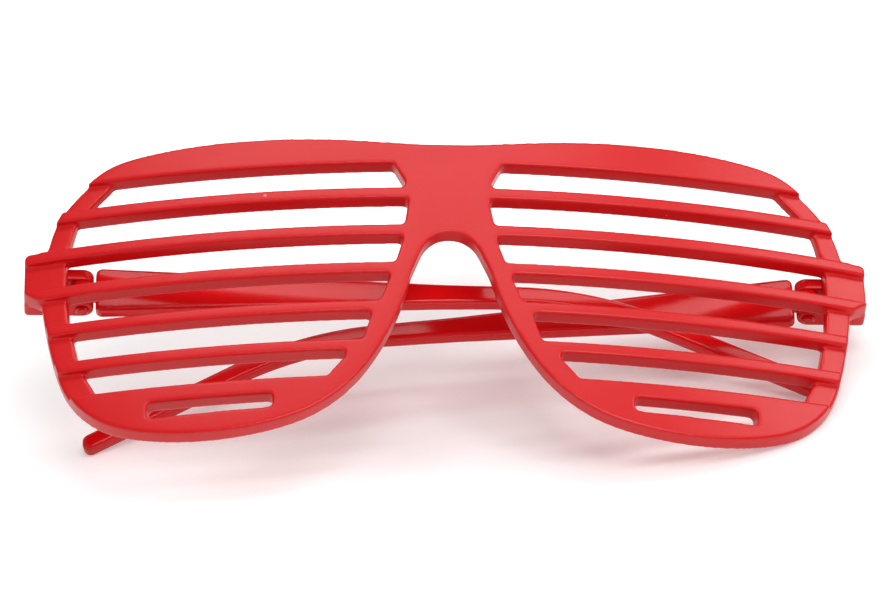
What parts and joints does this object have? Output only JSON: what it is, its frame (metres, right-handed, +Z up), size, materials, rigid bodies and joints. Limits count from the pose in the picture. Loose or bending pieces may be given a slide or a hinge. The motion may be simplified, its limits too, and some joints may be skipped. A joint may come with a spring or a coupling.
{
  "type": "slatted novelty glasses",
  "caption": "Red plastic novelty glasses with a wrap-around aviator front, horizontal slats in place of lenses and hinged temples folded behind it.",
  "frame": {"origin": "centre of the bounding box at its base, on the level surface the folded glasses lie on", "axes": "+X across the glasses, to the right as the front's face is seen; +Y towards the brow's top edge; +Z up, the front's face looking up and forward (towards -Y)"},
  "size_m": [0.15, 0.0578, 0.0463],
  "materials": {
    "red_plastic": "smooth glossy moulded plastic"
  },
  "bodies": {
    "front": {"front": "red_plastic", "left_hinge_pin": "red_plastic", "right_hinge_pin": "red_plastic"},
    "left_temple": {"left_temple": "red_plastic"},
    "right_temple": {"right_temple": "red_plastic"}
  },
  "joints": [
    {"name": "right_temple_hinge", "type": "hinge", "parent": "front", "child": "right_temple", "pos_m": [0.06407, 0.00992, 0.01006], "axis": [-0.0621, -0.8973, -0.4371], "range_deg": [0, 81]},
    {"name": "left_temple_hinge", "type": "hinge", "parent": "front", "child": "left_temple", "pos_m": [-0.06444, 0.00992, 0.02832], "axis": [0.0621, 0.8973, 0.4371], "range_deg": [-0.7, 1]}
  ]
}
